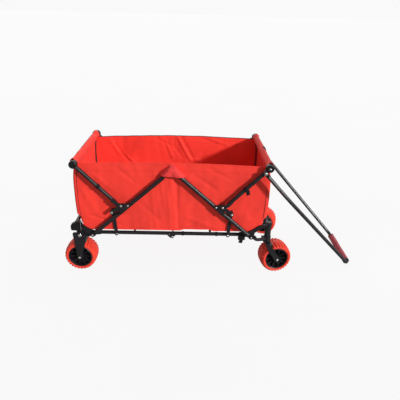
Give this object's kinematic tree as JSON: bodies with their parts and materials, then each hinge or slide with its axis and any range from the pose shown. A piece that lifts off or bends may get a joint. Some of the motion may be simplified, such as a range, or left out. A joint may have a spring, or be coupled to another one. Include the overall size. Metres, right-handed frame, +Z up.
{
  "type": "folding wagon",
  "caption": "Folding pull wagon: a fabric basket on a scissor frame that closes lengthwise, fixed rear wheels, swivelling front casters and a bent tube handle with a foam grip.",
  "frame": {"origin": "on the ground, under the middle of the bounding box of the open wagon with its handle lowered in front", "axes": "+X towards the handle at the front, +Y towards the far side, +Z up"},
  "size_m": [1.5939, 0.6254, 0.635],
  "materials": {
    "frame": "charcoal powder coat, slight sheen",
    "clamp": "black moulded plastic",
    "steel": "zinc plated",
    "tyre": "red solid foam tread",
    "hub": "black moulded plastic",
    "grip": "crimson foam",
    "canvas": "red woven polyester"
  },
  "bodies": {
    "rear_end": {"rear_cross_tube": "frame", "rear_bracket_near": "frame", "rear_bracket_far": "frame", "rear_corner_block_near": "clamp", "rear_corner_block_far": "clamp", "rear_fork_near": "frame", "rear_fork_far": "frame", "rear_axle_near": "steel", "rear_axle_far": "steel"},
    "rear_wheel_near": {"rear_tyre_near": "tyre", "rear_hub_near": "hub"},
    "rear_wheel_far": {"rear_tyre_far": "tyre", "rear_hub_far": "hub"},
    "rails_rear": {"rail_rear_near": "frame", "rail_rear_far": "frame", "floor_crossbar_rear": "frame", "centre_hinge_rod": "steel", "floor_mat_rear": "canvas"},
    "rails_front": {"rail_front_near": "frame", "rail_front_far": "frame", "floor_crossbar_front": "frame", "floor_mat_front": "canvas"},
    "front_end": {"front_cross_tube": "frame", "front_arm_near": "frame", "front_arm_far": "frame"},
    "caster_near": {"caster_fork_near": "frame", "caster_axle_near": "steel"},
    "caster_far": {"caster_fork_far": "frame", "caster_axle_far": "steel"},
    "caster_wheel_near": {"caster_tyre_near": "tyre", "caster_hub_near": "hub"},
    "caster_wheel_far": {"caster_tyre_far": "tyre", "caster_hub_far": "hub"},
    "longs_rear": {"long_rear_near": "frame", "long_rear_far": "frame"},
    "longs_front": {"long_front_near": "frame", "long_front_far": "frame"},
    "uppers_rear": {"upper_rear_near": "frame", "upper_rear_far": "frame", "corner_cap_rear_near": "clamp", "corner_cap_rear_far": "clamp", "top_bar_rear": "frame"},
    "uppers_front": {"upper_front_near": "frame", "upper_front_far": "frame", "corner_cap_front_near": "clamp", "corner_cap_front_far": "clamp", "top_bar_front": "frame", "handle_pivot_pin_near": "steel", "handle_pivot_pin_far": "steel"},
    "struts_rear": {"strut_rear_near": "frame", "strut_rear_far": "frame"},
    "struts_front": {"strut_front_near": "frame", "strut_front_far": "frame"},
    "wall_rear": {"basket_wall_rear": "canvas", "basket_side_near": "canvas", "basket_side_far": "canvas"},
    "wall_front": {"basket_wall_front": "canvas"},
    "handle": {"handle_tube": "frame", "handle_grip": "grip"}
  },
  "joints": [
    {"name": "fold", "type": "hinge", "parent": "rear_end", "child": "rails_rear", "pos_m": [-0.63401, 0, 0.222], "axis": [0, -1, 0], "range_deg": [0, 76.95], "deforming": ["basket_side_near", "basket_side_far"]},
    {"name": "centre_hinge", "type": "hinge", "parent": "rails_rear", "child": "rails_front", "pos_m": [-0.21602, 0, 0.206], "axis": [0, -1, 0], "range_deg": [-153.9, 0]},
    {"name": "front_rail_pivot", "type": "hinge", "parent": "rails_front", "child": "front_end", "pos_m": [0.20198, 0, 0.222], "axis": [0, -1, 0], "range_deg": [0, 76.96]},
    {"name": "long_rear_pivot", "type": "hinge", "parent": "rear_end", "child": "longs_rear", "pos_m": [-0.63401, 0, 0.222], "axis": [0, -1, 0], "range_deg": [0, 37.01]},
    {"name": "long_front_pivot", "type": "hinge", "parent": "front_end", "child": "longs_front", "pos_m": [0.20198, 0, 0.222], "axis": [0, -1, 0], "range_deg": [-37.01, 0]},
    {"name": "upper_rear_pivot", "type": "hinge", "parent": "longs_rear", "child": "uppers_rear", "pos_m": [-0.47252, 0, 0.403], "axis": [0, -1, 0], "range_deg": [-78.01, 0]},
    {"name": "upper_front_pivot", "type": "hinge", "parent": "longs_front", "child": "uppers_front", "pos_m": [0.04049, 0, 0.403], "axis": [0, -1, 0], "range_deg": [0, 78.01]},
    {"name": "strut_rear_pivot", "type": "hinge", "parent": "uppers_rear", "child": "struts_rear", "pos_m": [-0.52121, 0, 0.3644], "axis": [0, -1, 0], "range_deg": [0, 65.37]},
    {"name": "strut_front_pivot", "type": "hinge", "parent": "uppers_front", "child": "struts_front", "pos_m": [0.08919, 0, 0.3644], "axis": [0, -1, 0], "range_deg": [-65.37, 0]},
    {"name": "wall_rear_hang", "type": "hinge", "parent": "uppers_rear", "child": "wall_rear", "pos_m": [-0.69602, 0, 0.615], "axis": [0, -1, 0], "range_deg": [0, 41.01]},
    {"name": "wall_front_hang", "type": "hinge", "parent": "uppers_front", "child": "wall_front", "pos_m": [0.26399, 0, 0.615], "axis": [0, -1, 0], "range_deg": [-41.01, 0]},
    {"name": "handle_swing", "type": "hinge", "parent": "uppers_front", "child": "handle", "pos_m": [0.24296, 0, 0.5936], "axis": [0, -1, 0], "range_deg": [0, 130]},
    {"name": "rear_wheel_near_spin", "type": "hinge", "parent": "rear_end", "child": "rear_wheel_near", "pos_m": [-0.71201, -0.22, 0.085], "axis": [0, 1, 0], "continuous": true},
    {"name": "caster_near_swivel", "type": "hinge", "parent": "front_end", "child": "caster_near", "pos_m": [0.29698, -0.22, 0.18], "axis": [0, 0, 1], "continuous": true},
    {"name": "caster_wheel_near_spin", "type": "hinge", "parent": "caster_near", "child": "caster_wheel_near", "pos_m": [0.3465, -0.21304, 0.085], "axis": [-0.1392, 0.9903, 0], "continuous": true},
    {"name": "rear_wheel_far_spin", "type": "hinge", "parent": "rear_end", "child": "rear_wheel_far", "pos_m": [-0.71201, 0.22, 0.085], "axis": [0, 1, 0], "continuous": true},
    {"name": "caster_far_swivel", "type": "hinge", "parent": "front_end", "child": "caster_far", "pos_m": [0.29698, 0.22, 0.18], "axis": [0, 0, 1], "continuous": true},
    {"name": "caster_wheel_far_spin", "type": "hinge", "parent": "caster_far", "child": "caster_wheel_far", "pos_m": [0.3455, 0.2079, 0.085], "axis": [0.2419, 0.9703, 0], "continuous": true}
  ],
  "couplings": [
    {"joint": "centre_hinge", "follows": "fold", "ratio": -2},
    {"joint": "front_rail_pivot", "follows": "fold", "ratio": 1},
    {"joint": "long_rear_pivot", "follows": "fold", "ratio": 0.48082},
    {"joint": "long_front_pivot", "follows": "fold", "ratio": -0.48082},
    {"joint": "upper_rear_pivot", "follows": "fold", "ratio": -1.0137},
    {"joint": "upper_front_pivot", "follows": "fold", "ratio": 1.0137},
    {"joint": "strut_rear_pivot", "follows": "fold", "ratio": 0.84948},
    {"joint": "strut_front_pivot", "follows": "fold", "ratio": -0.84948},
    {"joint": "wall_rear_hang", "follows": "fold", "ratio": 0.53284},
    {"joint": "wall_front_hang", "follows": "fold", "ratio": -0.53284}
  ]
}
